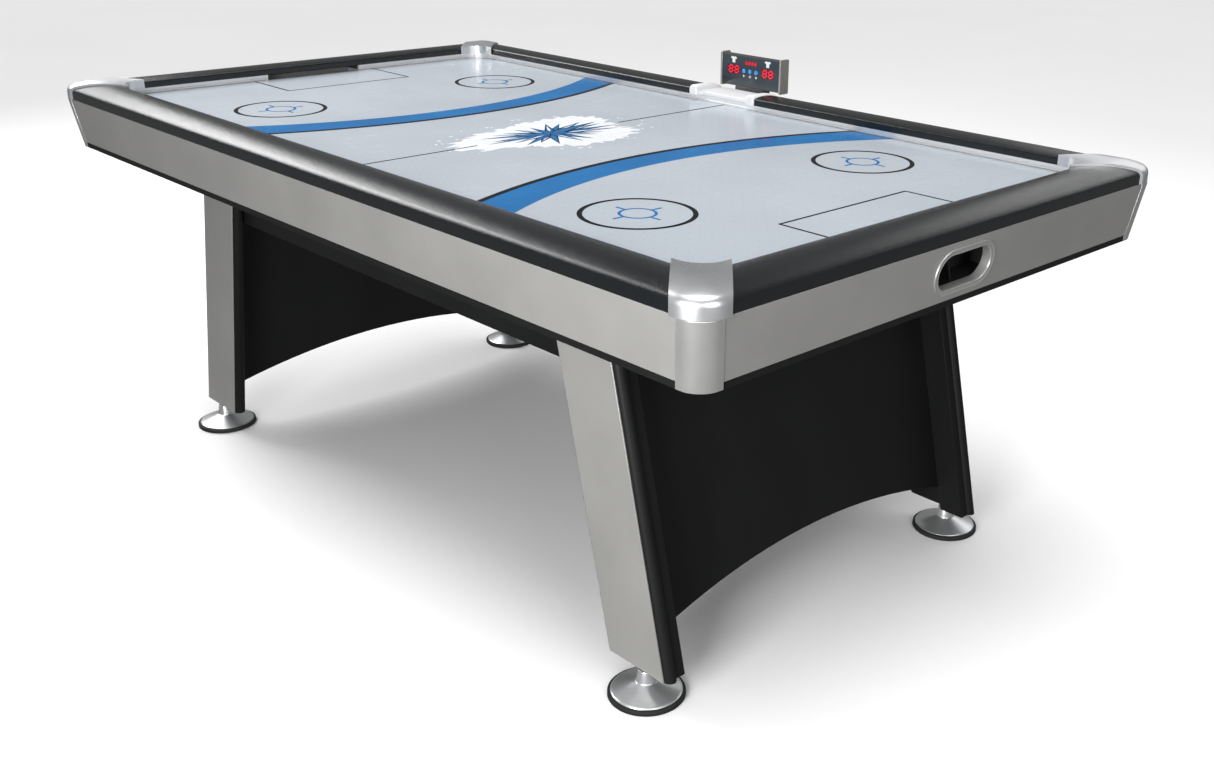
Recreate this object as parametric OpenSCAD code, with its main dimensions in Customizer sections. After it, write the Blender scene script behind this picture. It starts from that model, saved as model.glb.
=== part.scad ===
// Air hockey table: cabinet with an air chamber, cushioned rails with satin
// corner caps, splayed legs on screw-out levelers, puck returns at both ends,
// a blower inside the chamber and an electronic scoreboard on the back rail.
// Millimetres, Z up, floor at z = 0. Length runs along X, the scoreboard side
// is +Y. The origin is the centre of the bounding box on the floor.

/* [Cabinet] */
// length over the rails
table_length = 2134; // [1800:1:2600]
// width over the rails
table_width = 1214; // [1000:1:1500]
// height of the playing surface above the floor
field_height = 798; // [700:1:900]
// thickness of the playing board
field_board = 15; // [9:1:25]
// visible height of the leaning aprons
apron_height = 101; // [60:1:150]
// thickness of the apron boards
apron_board = 15; // [9:1:22]
// how far the apron line leans inward at the bottom of the base board
apron_lean = 16; // [4:1:40]
// thickness of the base board whose edge shows under the aprons
ledge_board = 11.5; // [6:0.5:20]
// thickness of the air chamber's inner walls
chamber_board = 15; // [9:1:20]
// gap from the rail's outer face to the chamber wall's outer face, long sides
chamber_inset_side = 47; // [30:1:80]
// the same gap at the two ends, where the puck returns sit
chamber_inset_end = 82; // [70:1:120]

/* [Rails] */
// width of the rails in plan
rail_width = 91; // [70:1:120]
// height of the rail's crown above the playing surface
rail_crown = 34; // [24:1:45]
// radius of the rail's outer shoulder
rail_shoulder = 12; // [6:1:20]
// radius of the crown arc
rail_arc = 140; // [100:1:240]
// radius of the inner lip
rail_lip = 5; // [3:1:8]
// height of the gap under the rail that takes the fence
fence_height = 14; // [10:1:20]
// thickness of the aluminium fence
fence_thick = 8; // [4:1:12]
// depth of the notch in the rail that takes the fence
fence_notch = 18; // [12:1:30]
// width of the goal slot
goal_width = 262; // [200:1:320]

/* [Caps and posts] */
// distance from the sharp corner to the cap's cut edge, along the rail
cap_reach = 60; // [40:1:90]
// how far a cap stands proud of the rail
cap_proud = 4; // [2:0.5:6]
// outer corner radius of the rails in plan
corner_radius = 50; // [30:1:60]
// radius of the rounded field corner
field_corner = 48; // [30:1:60]
// outer radius of the corner post
post_radius = 37; // [20:1:50]
// width of the post's flat flaps
post_flap = 10; // [4:1:20]
// half length of the centre cap
centre_half = 107; // [80:1:140]
// radius of the round ribs across the ends of the centre cap
rib_radius = 13; // [8:1:18]
// height of the flat saddle between those ribs above the playing surface
saddle_height = 23; // [18:1:30]

/* [Legs] */
// outward splay of the legs along the table, degrees
splay = 13; // [0:1:20]
// distance of the leg's middle from the table's middle at the leg's bottom
leg_x = 773; // [600:1:900]
// distance of the leg's outer face from the table's long centre line
leg_y = 456; // [350:1:520]
// height of the leg's bottom above the floor
leg_bottom = 56; // [40:1:80]
// width of the leg's flat face
leg_width = 134; // [90:1:180]
// thickness of the leg board
leg_board = 24; // [18:1:36]
// thickness of the silver facing
facing = 3; // [1:0.5:6]
// thickness of the cleat behind the leg board
cleat = 20; // [12:1:30]
// width of the cleat
cleat_width = 54; // [30:1:80]
// thickness of the end panels and of the side stretchers
panel = 15; // [9:1:20]
// height of the lower edge of the side stretchers above the floor
stretcher_bottom = 558; // [450:1:660]
// height of the arch's top above the floor
arch_top = 157; // [100:1:400]
// radius of the arch
arch_radius = 1510; // [900:1:3000]

/* [Levelers] */
// radius of the rubber pad
pad_radius = 68.8; // [40:0.1:90]
// height of the rubber pad
pad_height = 9.5; // [6:0.5:15]
// distance of the leveler from the table's middle
leveler_x = 783.5; // [600:0.5:900]
// radius of the collar at the top of the leveler's cone
collar_radius = 18; // [10:0.5:24]
// radius of the screw
stud_radius = 5; // [4:0.5:6]

/* [Puck return] */
// width of the opening's bezel
return_width = 164; // [120:1:220]
// height of the bezel along the apron
return_height = 80; // [60:1:90]
// width of the bezel's rim
return_rim = 10; // [6:1:16]

/* [Scoreboard] */
// half width of the score panel
score_half = 94; // [70:1:130]
// height of the bottom of the score panel above the floor
score_bottom = 829; // [820:1:860]
// height of the score panel
score_height = 72.5; // [50:0.5:110]
// distance of the score panel's front from the long centre line
score_front = 614; // [612:0.5:640]
// depth of the score housing behind its front
score_depth = 27; // [20:0.5:50]
// radius of the push buttons
button_radius = 5.2; // [3:0.1:6]
// spacing of the push buttons
button_pitch = 20; // [14:1:30]

/* [Blower] */
// radius of the blower housing
blower_radius = 96; // [70:1:120]
// height of the blower housing
blower_height = 74; // [74:1:80]
// radius of the impeller
impeller_radius = 78; // [50:1:100]
// number of impeller blades
blades = 24; // [12:1:36]

/* [Hidden] */
$fn = 64;

half_x = table_length / 2;
half_y = table_width / 2;
score_back = score_front + score_depth + 2;
// the table's long centre line, moved so that the bounding box is centred
line_y = -(score_back - half_y - cap_proud) / 2;
ledge_top = field_height - apron_height;
ledge_bottom = ledge_top - ledge_board;
drop = field_height - ledge_bottom;
lean_angle = atan(apron_lean / drop);
gap = 0.2;
field_under = field_height - field_board;
fence_x = half_x - rail_width + fence_notch - fence_thick;
fence_y = half_y - rail_width + fence_notch - fence_thick;
// centre of the field's rounded corner, from the sharp corner
corner_centre = rail_width + cap_proud + field_corner;
// where a straight fence stops beside a fence corner, from the sharp corner
fence_end = corner_centre + gap;
// the seam between an apron and a corner post, from the sharp corner
seam = post_radius - 1 + post_flap + gap;
wall_x = half_x - chamber_inset_end;
wall_y = half_y - chamber_inset_side;
board_y = leg_y - facing - leg_board / 2;
// everything inside the air chamber stands on this level
chamber_floor = ledge_top + gap;
// inner face of the leg boards, where the end panels and stretchers meet them
stand_y = leg_y - facing - leg_board;
splay_shift = (ledge_bottom - leg_bottom) * tan(splay);
crown_x = 56;
shoulder_z = rail_crown - rail_arc
    + sqrt(pow(rail_arc - rail_shoulder, 2) - pow(crown_x - rail_shoulder, 2));
lip_x = rail_width - rail_lip;
lip_z = rail_crown - rail_arc + sqrt(pow(rail_arc - rail_lip, 2) - pow(lip_x - crown_x, 2));
shoulder_end = 90 + asin((crown_x - rail_shoulder) / (rail_arc - rail_shoulder));
lip_start = 90 - asin((lip_x - crown_x) / (rail_arc - rail_lip));
lower_pin = 8;
cap_fall = 2.5;
fall_width = 35;
silver = [0.72, 0.72, 0.70];
satin = [0.80, 0.81, 0.82];
black = [0.06, 0.06, 0.065];
board_black = [0.08, 0.08, 0.08];
bare_metal = [0.78, 0.79, 0.80];

// ---------- shared shapes ----------

// puts a shape drawn about the table's centre line into the part's frame
module on_line() {
    translate([0, line_y, 0])
        children();
}

// one quadrant: a shape drawn for the right end and the back side
module quadrant(end, side) {
    mirror([end < 0 ? 1 : 0, 0, 0])
        mirror([0, side < 0 ? 1 : 0, 0])
            children();
}

function arc_points(cx, cy, r, from, to, steps) =
    [for (i = [0:steps]) [
        cx + r * cos(from + (to - from) * i / steps),
        cy + r * sin(from + (to - from) * i / steps)
    ]];

// section of the rail: x is the depth in from the outer face, y the height
module rail_section() {
    polygon(concat(
        [[0, 0]],
        arc_points(rail_shoulder, shoulder_z, rail_shoulder, 180, shoulder_end, 5),
        arc_points(crown_x, rail_crown - rail_arc, rail_arc, shoulder_end - 3, lip_start + 3, 7),
        arc_points(lip_x, lip_z, rail_lip, lip_start, 0, 4),
        [
            [rail_width, fence_height],
            [rail_width - fence_notch, fence_height],
            [rail_width - fence_notch, 0]
        ]
    ));
}

// section of a cap's outer half, grown outward from the rail section
module cap_section(grow, reach, low) {
    top_angle = 90 + asin((crown_x - corner_radius) / rail_arc);
    polygon(concat(
        [[-grow, low]],
        arc_points(rail_shoulder, shoulder_z, rail_shoulder + grow, 180, shoulder_end, 5),
        arc_points(crown_x, rail_crown - rail_arc, rail_arc + grow,
            shoulder_end - 3, top_angle, 5),
        [
            [reach, rail_crown + grow],
            [reach, low]
        ]
    ));
}

// extrudes a section along X, its x becoming the depth in from the front
module along(from, to, face) {
    translate([from, -face, field_height])
        rotate([90, 0, 90])
            linear_extrude(to - from)
                children();
}

// plan of a rail between two corner caps, its ends cut parallel to the diagonals
module rail_plan(half_length, face) {
    start = half_length - cap_reach - gap;
    translate([0, 0, field_height - 10])
        linear_extrude(80)
            polygon([
                [-start, -face],
                [start, -face],
                [start - rail_width - 1, -face + rail_width + 1],
                [-start + rail_width + 1, -face + rail_width + 1]
            ]);
}

module rail_long() {
    intersection() {
        along(-half_x, half_x, half_y)
            rail_section();
        rail_plan(half_x, half_y);
    }
}

module rail_short() {
    difference() {
        rotate([0, 0, 90])
            intersection() {
                along(-half_y, half_y, half_x)
                    rail_section();
                rail_plan(half_y, half_x);
            }
        translate([half_x - rail_width - 1, -goal_width / 2, field_height - 1])
            cube([rail_width - 14, goal_width, fence_height + 1]);
    }
}

// plan of a corner cap in local axes: x and y run inward from the sharp corner
module cap_plan() {
    inner = rail_width + cap_proud;
    centre = corner_centre;
    difference() {
        intersection() {
            union() {
                translate([corner_radius, corner_radius])
                    circle(r = corner_radius + cap_proud, $fn = 96);
                translate([corner_radius, -cap_proud])
                    square([200, 200]);
                translate([-cap_proud, corner_radius])
                    square([200, 200]);
            }
            polygon([
                [-20, -20], [cap_reach - 20, -20], [cap_reach + 180, 180],
                [180, cap_reach + 180], [-20, cap_reach - 20]
            ]);
        }
        translate([centre, centre])
            circle(r = field_corner, $fn = 96);
        translate([inner, centre])
            square([200, 200]);
        translate([centre, inner])
            square([200, 200]);
    }
}

// the cap's solid: the rail's rising section taken both ways over that plan
module cap_form() {
    low = gap;
    centre = corner_centre;
    fence_back = rail_width - fence_notch - gap;
    difference() {
        intersection() {
            translate([0, 0, low])
                linear_extrude(50)
                    cap_plan();
            translate([-10, 0, 0])
                rotate([90, 0, 90])
                    linear_extrude(230)
                        cap_section(cap_proud, 230, low - 1);
            translate([0, 220, 0])
                rotate([90, 0, 0])
                    linear_extrude(230)
                        cap_section(cap_proud, 230, low - 1);
        }
        translate([centre, centre, rail_crown - cap_fall + cap_proud])
            cylinder(
                h = 10 * cap_fall, r1 = field_corner,
                r2 = field_corner + 10 * fall_width, $fn = 96
            );
        translate([0, 0, -1])
            linear_extrude(fence_height + gap + 1) {
                translate([centre, centre])
                    circle(r = centre - fence_back, $fn = 96);
                translate([fence_back, centre])
                    square([200, 200]);
                translate([centre, fence_back])
                    square([200, 200]);
            }
    }
}

// one corner cap, hollow from below, drawn for the right end of the back side
module corner_cap() {
    room = cap_reach - 5;
    inside = rail_width - 4;
    translate([half_x, half_y, field_height])
        rotate([0, 0, 180])
            difference() {
                cap_form();
                translate([0, 0, -10])
                    linear_extrude(34)
                        polygon([
                            [16, 16], [8, 24], [8, 8 + room], [inside, inside + room],
                            [inside, inside], [inside + room, inside], [8 + room, 8], [24, 8]
                        ]);
            }
}

// a corner post leaning with the aprons, drawn for the right back corner
module corner_post() {
    tilt = atan(apron_lean * sqrt(2) / drop);
    translate([half_x, half_y, field_height])
        rotate([0, 0, 180])
            intersection() {
                translate([post_radius - 1, post_radius - 1, 0])
                    rotate(a = tilt, v = [1, -1, 0])
                        translate([0, 0, -140])
                            linear_extrude(160)
                                post_plan();
                translate([-20, -20, -drop])
                    cube([200, 200, drop - gap]);
            }
}

module post_plan() {
    difference() {
        intersection() {
            circle(r = post_radius, $fn = 96);
            translate([-80, -80])
                square(80);
        }
        circle(r = post_radius - 4, $fn = 96);
    }
    translate([0, -post_radius])
        square([post_flap, 4]);
    translate([-post_radius, 0])
        square([4, post_flap]);
}

// a leaning apron board, front face outward, drawn for the front
module apron(half_length, face) {
    top_half = half_length - seam;
    slant = drop / cos(lean_angle);
    intersection() {
        translate([0, -face, field_height])
            rotate([lean_angle, 0, 0])
                rotate([90, 0, 0])
                    translate([0, 0, -apron_board])
                        linear_extrude(apron_board)
                            polygon([
                                [-top_half - 4 * apron_lean / drop, 4],
                                [top_half + 4 * apron_lean / drop, 4],
                                [top_half - apron_lean, -slant],
                                [-top_half + apron_lean, -slant]
                            ]);
        translate([-half_length, -face - 10, ledge_top])
            cube([2 * half_length, 100, apron_height]);
    }
}

// a slot shape with round ends, lying flat
module slot_plan(width, height) {
    square([width - height, height], center = true);
    for (end = [-1, 1]) {
        translate([end * (width - height) / 2, 0])
            circle(d = height, $fn = 96);
    }
}

// carries a flat shape onto the right apron's outer face
module on_end_apron(inward, thick) {
    translate([half_x, 0, field_height])
        rotate([0, lean_angle, 0])
            translate([-inward, 0, -apron_height / 2 - 1])
                rotate([90, 0, 90])
                    linear_extrude(thick)
                        children();
}

module end_apron() {
    difference() {
        rotate([0, 0, 90])
            apron(half_y, half_x);
        on_end_apron(30, 60)
            slot_plan(return_width - 8, return_height - 8);
    }
}

module return_bezel() {
    difference() {
        union() {
            on_end_apron(-gap, 2)
                slot_plan(return_width, return_height);
            on_end_apron(apron_board, apron_board + 1)
                slot_plan(return_width - 8.4, return_height - 8.4);
        }
        on_end_apron(30, 60)
            slot_plan(return_width - 2 * return_rim, return_height - 2 * return_rim);
    }
}

// the board in a leg's own leaning axes: x across the leg, z up the leg
module leg_frame() {
    translate([leg_x, 0, leg_bottom])
        rotate([0, -splay, 0])
            children();
}

module leg_slab() {
    translate([0, 0, leg_bottom])
        cube([half_x, half_y, ledge_bottom - leg_bottom]);
}

module leg_core() {
    intersection() {
        leg_frame()
            translate([0, board_y, -60]) {
                translate([-leg_width / 2, -leg_board / 2, 0])
                    cube([leg_width, leg_board, 760]);
                for (edge = [-1, 1]) {
                    translate([edge * leg_width / 2, 0, 0])
                        cylinder(h = 760, r = leg_board / 2);
                }
            }
        leg_slab();
    }
}

module leg() {
    difference() {
        leg_core();
        translate([leveler_x, board_y, 0])
            cylinder(h = leg_bottom + 30, r = 7.5);
        translate([leveler_x, board_y, 0])
            cylinder(h = leg_bottom + 52, r = 6);
        leg_bolt_places(4.2, 60);
    }
}

module leg_bolt_places(r, depth) {
    for (along = [-32, 32]) {
        translate([leg_x - splay_shift + along + 8, board_y, ledge_bottom - depth])
            cylinder(h = depth + ledge_board + 1, r = r);
    }
}

module leg_facing() {
    cut = 6;
    intersection() {
        leg_frame()
            translate([-leg_width / 2, leg_y - facing, -60])
                cube([leg_width, facing, 760]);
        leg_slab();
        translate([leg_x - leg_width / 2 - 4 + cut, leg_y, leg_bottom])
            rotate([0, -45, 0])
                translate([-2, -50, -1000])
                    cube([2000, 100, 3000]);
    }
}

module leg_cleat() {
    intersection() {
        leg_frame()
            translate([panel + 2.5, stand_y - cleat, -60])
                cube([cleat_width, cleat, 760]);
        leg_slab();
    }
}

module end_panel() {
    reach = stand_y;
    intersection() {
        leg_frame()
            translate([2.5, 0, 0])
                rotate([90, 0, 90])
                    linear_extrude(panel)
                        difference() {
                            translate([-reach, 0])
                                square([2 * reach, 760]);
                            translate([0, (arch_top - leg_bottom) / cos(splay) - arch_radius])
                                circle(r = arch_radius, $fn = 720);
                        }
        translate([0, -half_y, leg_bottom])
            cube([half_x, table_width, ledge_bottom - leg_bottom]);
    }
}

module pad() {
    translate([leveler_x, board_y, 0])
        rotate_extrude($fn = 96)
            polygon([
                [lower_pin, 3],
                [lower_pin, pad_height],
                [pad_radius - 1.5, pad_height],
                [pad_radius, pad_height - 1.5],
                [pad_radius, 1],
                [pad_radius - 1, 0],
                [0, 0],
                [0, 3]
            ]);
}

module leveler() {
    base = pad_height + 0.3;
    translate([leveler_x, board_y, 0])
        rotate_extrude($fn = 96)
            polygon([
                [0, 3.3],
                [lower_pin - 0.05, 3.3],
                [lower_pin - 0.05, base],
                [63.5, base],
                [63.5, base + 1.5],
                [collar_radius + 1, base + 19],
                [collar_radius, base + 20.5],
                [collar_radius - 3, leg_bottom - 5],
                [collar_radius - 4, leg_bottom - 4],
                [stud_radius, leg_bottom - 4],
                [stud_radius, leg_bottom + 48],
                [stud_radius - 1, leg_bottom + 49],
                [0, leg_bottom + 49]
            ]);
}

module leg_insert() {
    translate([leveler_x, board_y, leg_bottom])
        difference() {
            cylinder(h = 30, r = 7.4);
            translate([0, 0, -1])
                cylinder(h = 32, r = stud_radius + 0.08);
        }
}

module leg_bolt_pair() {
    leg_bolt_places(4, 55);
    for (along = [-32, 32]) {
        translate([leg_x - splay_shift + along + 8, board_y, chamber_floor])
            cylinder(h = 4, r = 9);
    }
}

// the puck tray behind the right end's opening
module puck_tray() {
    back = wall_x + 0.1;
    front = half_x - apron_lean - apron_board - 1;
    floor_z = field_height - apron_height / 2 - return_height / 2 + return_rim - 4;
    difference() {
        translate([back, -goal_width / 2 + 4, floor_z])
            cube([front - back, goal_width - 8, field_under - floor_z - 1]);
        translate([back + 2, -goal_width / 2 + 6, floor_z + 3])
            cube([200, goal_width - 12, 200]);
    }
    translate([back + 1, 8, floor_z + 2])
        rotate([20, 0, 0])
            cube([front - back - 6, 2, 40]);
}

module goal_sensor_pair() {
    for (side = [-1, 1]) {
        translate([wall_x + 22, side * (goal_width / 2 + 1.6) - 5.5, field_under - 40])
            cube([20, 11, 24]);
    }
}

// the curved fence under a corner cap, in the cap's local axes
module fence_bend() {
    face = corner_centre - rail_width + fence_notch - fence_thick;
    linear_extrude(fence_height)
        intersection() {
            difference() {
                translate([corner_centre, corner_centre])
                    circle(r = face + fence_thick, $fn = 96);
                translate([corner_centre, corner_centre])
                    circle(r = face, $fn = 96);
            }
            square([corner_centre, corner_centre]);
        }
}

module fence_short() {
    reach = half_y - fence_end;
    for (side = [-1, 1]) {
        translate([fence_x, side > 0 ? goal_width / 2 : -reach, field_height])
            cube([fence_thick, reach - goal_width / 2, fence_height]);
    }
}

module fence_long() {
    reach = half_x - fence_end;
    translate([-reach, -fence_y - fence_thick, field_height])
        cube([2 * reach, fence_thick, fence_height]);
}

// rounded plate standing across X
module side_plate(width, height, r) {
    rotate([90, 0, 90])
        linear_extrude(4.8) {
            translate([0, r])
                square([width, height - 2 * r]);
            translate([r, 0])
                square([width - 2 * r, height]);
            for (x = [r, width - r]) {
                for (y = [r, height - r]) {
                    translate([x, y])
                        circle(r = r);
                }
            }
        }
}

module button_at(place) {
    translate([place * button_pitch, score_front, score_bottom + 38])
        rotate([-90, 0, 0])
            children();
}

module button(place) {
    button_at(place)
        translate([0, 0, -3.5])
            rotate_extrude()
                polygon([
                    [0, 0],
                    [0.55 * button_radius, 0.3],
                    [0.86 * button_radius, 1.2],
                    [button_radius, 2.4],
                    [button_radius, 5.9],
                    [button_radius + 1.2, 5.9],
                    [button_radius + 1.2, 7.1],
                    [button_radius, 7.1],
                    [button_radius, 9.8],
                    [0, 9.8]
                ]);
}

// ---------- the nodes ----------

module playfield() {
    color([0.80, 0.84, 0.90])
        on_line()
            difference() {
                translate([-half_x + 22, -half_y + 19, field_under])
                    cube([table_length - 44, table_width - 38, field_board]);
                for (end = [-1, 1]) {
                    translate([end * half_x, 0, field_height])
                        cube([2 * (half_x - fence_x - 2), goal_width, 60], center = true);
                }
            }
}

// the corner of the base board that is cut away for a corner post
module post_notch() {
    flap_end = seam + apron_lean + 1;
    inner = apron_lean + 5.5;
    polygon([
        [half_x - flap_end, half_y],
        [half_x - flap_end, half_y - inner],
        [half_x - 48, half_y - inner],
        [half_x - 24, half_y - 42],
        [half_x - 24, half_y - 47],
        [half_x - inner, half_y - 47],
        [half_x - inner, half_y - flap_end],
        [half_x, half_y - flap_end],
        [half_x, half_y]
    ]);
}

module chamber_base() {
    edge = apron_lean - 1;
    color(black)
        on_line()
            difference() {
                translate([0, 0, ledge_bottom])
                    linear_extrude(ledge_board - 0.1)
                        difference() {
                            square([2 * (half_x - edge), 2 * (half_y - edge)], center = true);
                            for (end = [-1, 1]) {
                                for (side = [-1, 1]) {
                                    quadrant(end, side)
                                        post_notch();
                                }
                            }
                        }
                for (row = [-3:3]) {
                    for (col = [-3:3]) {
                        if (row * row + col * col < 12) {
                            translate([row * 16, col * 16, ledge_bottom - 1])
                                cylinder(h = ledge_board + 2, r = 6, $fn = 24);
                        }
                    }
                }
                for (end = [-1, 1]) {
                    for (side = [-1, 1]) {
                        quadrant(end, side)
                            leg_bolt_places(4.2, 60);
                    }
                }
            }
}

module chamber_walls() {
    wall_height = field_under - ledge_top;
    color(board_black)
        on_line() {
            for (side = [-1, 1]) {
                translate([-wall_x, side > 0 ? wall_y - chamber_board : -wall_y, ledge_top])
                    cube([2 * wall_x, chamber_board, wall_height]);
            }
            for (end = [-1, 1]) {
                translate([
                    end > 0 ? wall_x - chamber_board : -wall_x,
                    -wall_y + chamber_board + gap,
                    ledge_top
                ])
                    cube([chamber_board, 2 * (wall_y - chamber_board - gap), wall_height]);
            }
        }
}

// boards on edge under the base, from one end panel to the other
module side_stretchers() {
    reach = leg_x - splay_shift + 2;
    color(board_black)
        on_line()
            for (side = [-1, 1]) {
                quadrant(1, side)
                    translate([-reach, stand_y - gap - panel, stretcher_bottom])
                        cube([2 * reach, panel, ledge_bottom - stretcher_bottom]);
            }
}

module apron_front() {
    color(silver)
        on_line()
            apron(half_x, half_y);
}

module apron_back() {
    color(silver)
        on_line()
            quadrant(1, -1)
                apron(half_x, half_y);
}

module apron_left() {
    color(silver)
        on_line()
            quadrant(-1, 1)
                end_apron();
}

module apron_right() {
    color(silver)
        on_line()
            end_apron();
}

module rail_front() {
    color(black)
        on_line()
            rail_long();
}

module rail_back_half() {
    intersection() {
        quadrant(1, -1)
            rail_long();
        translate([centre_half + gap, 0, field_height - 10])
            cube([half_x, table_width, 80]);
    }
}

module rail_back_left() {
    color(black)
        on_line()
            quadrant(-1, 1)
                rail_back_half();
}

module rail_back_right() {
    color(black)
        on_line()
            rail_back_half();
}

module rail_left() {
    color(black)
        on_line()
            quadrant(-1, 1)
                rail_short();
}

module rail_right() {
    color(black)
        on_line()
            rail_short();
}

module fence_front() {
    color(bare_metal)
        on_line()
            fence_long();
}

module fence_back() {
    color(bare_metal)
        on_line()
            quadrant(1, -1)
                fence_long();
}

module fence_left() {
    color(bare_metal)
        on_line()
            quadrant(-1, 1)
                fence_short();
}

module fence_right() {
    color(bare_metal)
        on_line()
            fence_short();
}

module fence_corners() {
    color(bare_metal)
        on_line()
            for (end = [-1, 1]) {
                for (side = [-1, 1]) {
                    quadrant(end, side)
                        translate([half_x, half_y, field_height])
                            rotate([0, 0, 180])
                                fence_bend();
                }
            }
}

module cap_front_left() {
    color(satin)
        on_line()
            quadrant(-1, -1)
                corner_cap();
}

module cap_front_right() {
    color(satin)
        on_line()
            quadrant(1, -1)
                corner_cap();
}

module cap_back_left() {
    color(satin)
        on_line()
            quadrant(-1, 1)
                corner_cap();
}

module cap_back_right() {
    color(satin)
        on_line()
            corner_cap();
}

module corner_posts() {
    color(silver)
        on_line()
            for (end = [-1, 1]) {
                for (side = [-1, 1]) {
                    quadrant(end, side)
                        corner_post();
                }
            }
}

// section of a rib across the centre cap: x along the table, y the height
module rib_section() {
    crest = rail_crown + cap_proud - 0.6;
    translate([-rib_radius, 0])
        square([2 * rib_radius, crest - rib_radius]);
    translate([0, crest - rib_radius])
        circle(r = rib_radius);
}

// drawn for the front, then turned over to the scoreboard side
module centre_cap() {
    full = rail_width + cap_proud;
    inner = rail_width - fence_notch + fence_thick;
    color(satin)
        on_line()
            quadrant(1, -1)
                difference() {
                    union() {
                        along(-centre_half + 1, centre_half - 1, half_y)
                            intersection() {
                                cap_section(cap_proud, full, gap);
                                translate([-50, -1])
                                    square([50 + inner, saddle_height + 1]);
                            }
                        for (end = [-1, 1]) {
                            intersection() {
                                along(-centre_half, centre_half, half_y)
                                    cap_section(cap_proud, full, gap);
                                translate([
                                    end * (centre_half - rib_radius), 0, field_height
                                ])
                                    rotate([90, 0, 0])
                                        linear_extrude(half_y + 20)
                                            rib_section();
                            }
                        }
                    }
                    translate([
                        -centre_half - 1, -half_y + rail_width - fence_notch - gap,
                        field_height - 1
                    ])
                        cube([2 * centre_half + 2, 100, fence_height + 1 + gap]);
                    translate([-centre_half + 5, -half_y + 8, field_height - 1])
                        cube([
                            2 * centre_half - 10, rail_width - fence_notch - 16,
                            saddle_height - 4
                        ]);
                }
}

module leg_front_left() {
    color(board_black)
        on_line()
            quadrant(-1, -1)
                leg();
}

module leg_front_right() {
    color(board_black)
        on_line()
            quadrant(1, -1)
                leg();
}

module leg_back_left() {
    color(board_black)
        on_line()
            quadrant(-1, 1)
                leg();
}

module leg_back_right() {
    color(board_black)
        on_line()
            leg();
}

module at_each_leg() {
    on_line()
        for (end = [-1, 1]) {
            for (side = [-1, 1]) {
                quadrant(end, side)
                    children();
            }
        }
}

module leg_facings() {
    color(silver)
        at_each_leg()
            leg_facing();
}

module leg_cleats() {
    color(board_black)
        at_each_leg()
            leg_cleat();
}

module end_panel_left() {
    color(board_black)
        on_line()
            quadrant(-1, 1)
                end_panel();
}

module end_panel_right() {
    color(board_black)
        on_line()
            end_panel();
}

module leg_bolts() {
    color(bare_metal)
        at_each_leg()
            leg_bolt_pair();
}

module leg_inserts() {
    color(bare_metal)
        at_each_leg()
            leg_insert();
}

module pad_front_left() {
    color(black)
        on_line()
            quadrant(-1, -1)
                pad();
}

module pad_front_right() {
    color(black)
        on_line()
            quadrant(1, -1)
                pad();
}

module pad_back_left() {
    color(black)
        on_line()
            quadrant(-1, 1)
                pad();
}

module pad_back_right() {
    color(black)
        on_line()
            pad();
}

module leveler_front_left() {
    color(satin)
        on_line()
            quadrant(-1, -1)
                leveler();
}

module leveler_front_right() {
    color(satin)
        on_line()
            quadrant(1, -1)
                leveler();
}

module leveler_back_left() {
    color(satin)
        on_line()
            quadrant(-1, 1)
                leveler();
}

module leveler_back_right() {
    color(satin)
        on_line()
            leveler();
}

module puck_tray_left() {
    color(black)
        on_line()
            quadrant(-1, 1)
                puck_tray();
}

module puck_tray_right() {
    color(black)
        on_line()
            puck_tray();
}

module return_bezel_left() {
    color(silver)
        on_line()
            quadrant(-1, 1)
                return_bezel();
}

module return_bezel_right() {
    color(silver)
        on_line()
            return_bezel();
}

module goal_sensors() {
    color([0.12, 0.14, 0.12])
        on_line()
            for (end = [-1, 1]) {
                quadrant(end, 1)
                    goal_sensor_pair();
            }
}

module blower_housing() {
    wall = 3;
    floor_z = chamber_floor;
    color([0.16, 0.16, 0.17])
        on_line()
            difference() {
                union() {
                    translate([0, 0, floor_z])
                        cylinder(h = blower_height, r = blower_radius, $fn = 96);
                    translate([0, blower_radius - 62, floor_z])
                        cube([blower_radius + 60, 62, blower_height]);
                }
                translate([0, 0, floor_z + wall])
                    cylinder(h = blower_height - 2 * wall, r = blower_radius - wall, $fn = 96);
                translate([0, blower_radius - 62 + wall, floor_z + wall])
                    cube([blower_radius + 61, 62 - 2 * wall, blower_height - 2 * wall]);
                translate([0, 0, floor_z - 1])
                    cylinder(h = wall + 2, r = 58, $fn = 96);
                translate([0, 0, floor_z + blower_height - wall - 1])
                    cylinder(h = wall + 2, r = 30, $fn = 96);
            }
}

module blower_motor() {
    base = chamber_floor + 45;
    color([0.55, 0.56, 0.58])
        on_line()
            translate([0, 0, base])
                difference() {
                    union() {
                        cylinder(h = 36, r = 29.5);
                        translate([0, 0, blower_height - 44.8])
                            cylinder(h = 4, r = 38);
                    }
                    translate([0, 0, -1])
                        cylinder(h = 31, r = 4.05);
                }
}

module impeller() {
    base = chamber_floor + 6;
    color([0.10, 0.10, 0.11])
        on_line()
            translate([0, 0, base]) {
                translate([0, 0, 33])
                    cylinder(h = 3, r = impeller_radius, $fn = 96);
                difference() {
                    cylinder(h = 3, r = impeller_radius, $fn = 96);
                    translate([0, 0, -1])
                        cylinder(h = 5, r = 58, $fn = 96);
                }
                translate([0, 0, 14])
                    cylinder(h = 20, r = 12);
                translate([0, 0, 16])
                    cylinder(h = 50, r = 4);
                for (i = [0:blades - 1]) {
                    rotate([0, 0, i * 360 / blades])
                        translate([60, -1, 1])
                            rotate([0, 0, 12])
                                cube([16, 2, 34]);
                }
            }
}

module power_inlet() {
    color([0.05, 0.05, 0.05])
        on_line()
            translate([250, stand_y - gap, stretcher_bottom + 60])
                difference() {
                    translate([-14, gap, -10])
                        cube([28, 6, 20]);
                    rotate([-90, 0, 0])
                        cylinder(h = 8, r = 4);
                }
}

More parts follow.
